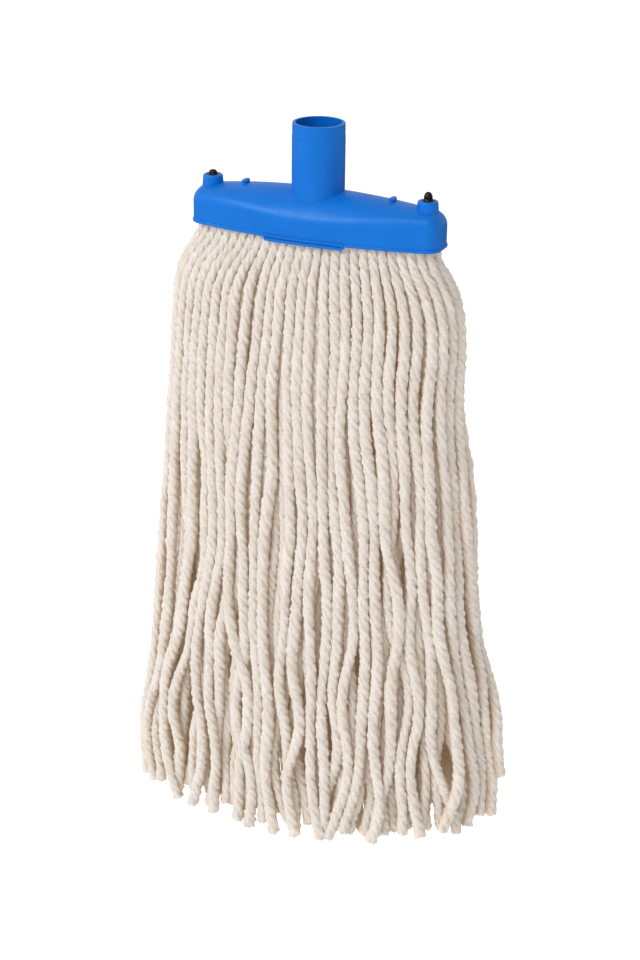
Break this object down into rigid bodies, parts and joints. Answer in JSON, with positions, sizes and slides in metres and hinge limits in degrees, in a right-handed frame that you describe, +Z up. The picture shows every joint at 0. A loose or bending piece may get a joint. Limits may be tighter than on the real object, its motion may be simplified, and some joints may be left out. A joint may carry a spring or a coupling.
{
  "type": "string mop head",
  "caption": "Socket mop head: a blue moulded housing with a round handle socket clamps a full fringe of twisted cotton yarn.",
  "frame": {"origin": "centre of the handle socket's floor, where the end of the handle seats", "axes": "+Z up along the socket, out of its mouth; X along the housing; -Y is the front, the side with the moulded lip"},
  "size_m": [0.242, 0.09, 0.4245],
  "materials": {
    "blue_moulding": "satin moulded polypropylene with a faint mottle",
    "clamp_plastic": "plain moulded nylon",
    "pin_nylon": "glossy black nylon",
    "cotton_yarn": "undyed four-ply cotton yarn, soft and matt"
  },
  "bodies": {
    "head": {"head_housing": "blue_moulding", "yarn_clamp_bar": "clamp_plastic", "left_snap_pin": "pin_nylon", "right_snap_pin": "pin_nylon", "yarn_fold": "cotton_yarn", "core_yarn_1": "cotton_yarn", "core_yarn_2": "cotton_yarn", "core_yarn_3": "cotton_yarn"},
    "front_yarn": {"front_yarn_1": "cotton_yarn", "front_yarn_2": "cotton_yarn", "front_yarn_3": "cotton_yarn", "front_yarn_4": "cotton_yarn", "front_yarn_5": "cotton_yarn", "front_yarn_6": "cotton_yarn"},
    "rear_yarn": {"rear_yarn_1": "cotton_yarn", "rear_yarn_2": "cotton_yarn", "rear_yarn_3": "cotton_yarn", "rear_yarn_4": "cotton_yarn", "rear_yarn_5": "cotton_yarn", "rear_yarn_6": "cotton_yarn"},
    "left_yarn": {"left_yarn_front": "cotton_yarn", "left_yarn_rear": "cotton_yarn"},
    "right_yarn": {"right_yarn_front": "cotton_yarn", "right_yarn_rear": "cotton_yarn"}
  },
  "joints": [
    {"name": "front_swing", "type": "hinge", "parent": "head", "child": "front_yarn", "pos_m": [0, -0.014, -0.0226], "axis": [-1, 0, 0], "range_deg": [0, 35]},
    {"name": "rear_swing", "type": "hinge", "parent": "head", "child": "rear_yarn", "pos_m": [0, 0.014, -0.0226], "axis": [1, 0, 0], "range_deg": [0, 35]},
    {"name": "left_swing", "type": "hinge", "parent": "head", "child": "left_yarn", "pos_m": [-0.0695, 0, -0.0226], "axis": [0, 1, 0], "range_deg": [0, 35]},
    {"name": "right_swing", "type": "hinge", "parent": "head", "child": "right_yarn", "pos_m": [0.0695, 0, -0.0226], "axis": [0, -1, 0], "range_deg": [0, 35]}
  ]
}
